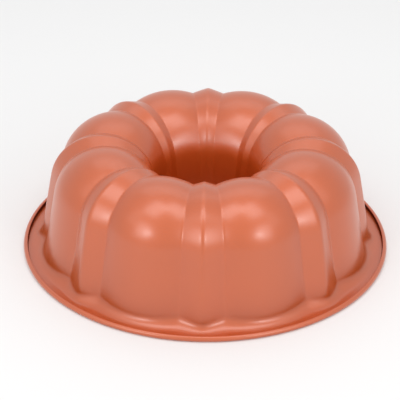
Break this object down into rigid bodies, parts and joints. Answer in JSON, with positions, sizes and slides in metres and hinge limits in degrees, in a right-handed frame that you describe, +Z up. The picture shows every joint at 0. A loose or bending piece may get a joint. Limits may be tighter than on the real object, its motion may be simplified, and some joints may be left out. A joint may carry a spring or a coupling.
{
  "type": "bundt pan",
  "caption": "Fluted ring-cake pan of coated sheet steel with a centre tube and a rolled, wire-stiffened rim, standing on its rim with the dome up.",
  "frame": {"origin": "centre of the plane that the rim rests on, on the axis of the centre tube", "axes": "+Z up along the axis of the centre tube, from the rim to the dome; one of the narrow ribs points along -Y"},
  "size_m": [0.2666, 0.2666, 0.0831],
  "materials": {
    "copper_nonstick": "satin metallic copper-coloured nonstick coating on steel sheet",
    "steel_wire": "black annealed mild steel wire"
  },
  "bodies": {
    "root": {"pan_shell": "copper_nonstick", "rim_wire": "steel_wire"}
  },
  "joints": []
}
